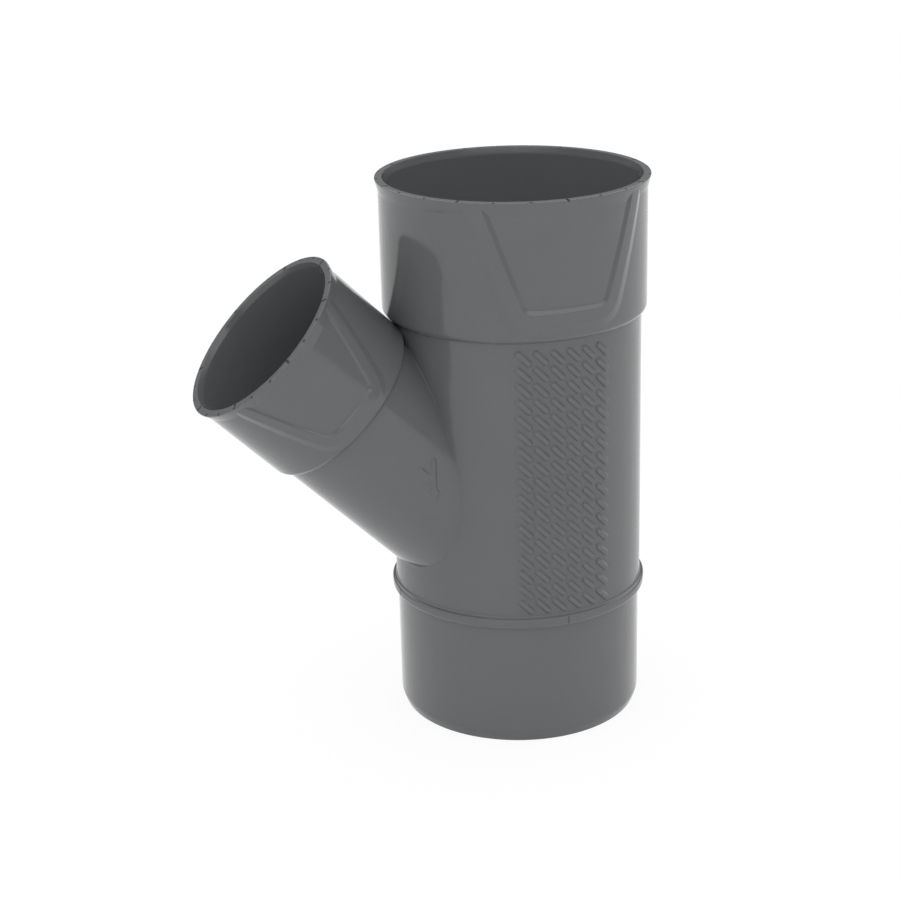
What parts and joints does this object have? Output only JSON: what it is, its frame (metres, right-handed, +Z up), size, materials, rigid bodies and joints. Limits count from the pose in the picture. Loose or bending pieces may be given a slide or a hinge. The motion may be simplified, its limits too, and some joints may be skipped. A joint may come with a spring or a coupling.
{
  "type": "lateral wye pipe fitting",
  "caption": "Grey moulded plastic lateral wye: an upright drain pipe run with a plain spigot below, a socket on top, and a smaller socketed branch leaving at 45 degrees.",
  "frame": {"origin": "Centre of the spigot's end face, on the axis of the main run, where the fitting stands.", "axes": "+Z up along the main run, from the spigot's end to the main socket's mouth. -X towards the branch, which leaves at 45 degrees between -X and +Z. The fitting is symmetric about the XZ plane."},
  "size_m": [0.2042, 0.1188, 0.2449],
  "materials": {
    "grey_plastic": "smooth injection-moulded rigid PVC, half gloss"
  },
  "bodies": {
    "root": {"wye_fitting": "grey_plastic"}
  },
  "joints": []
}
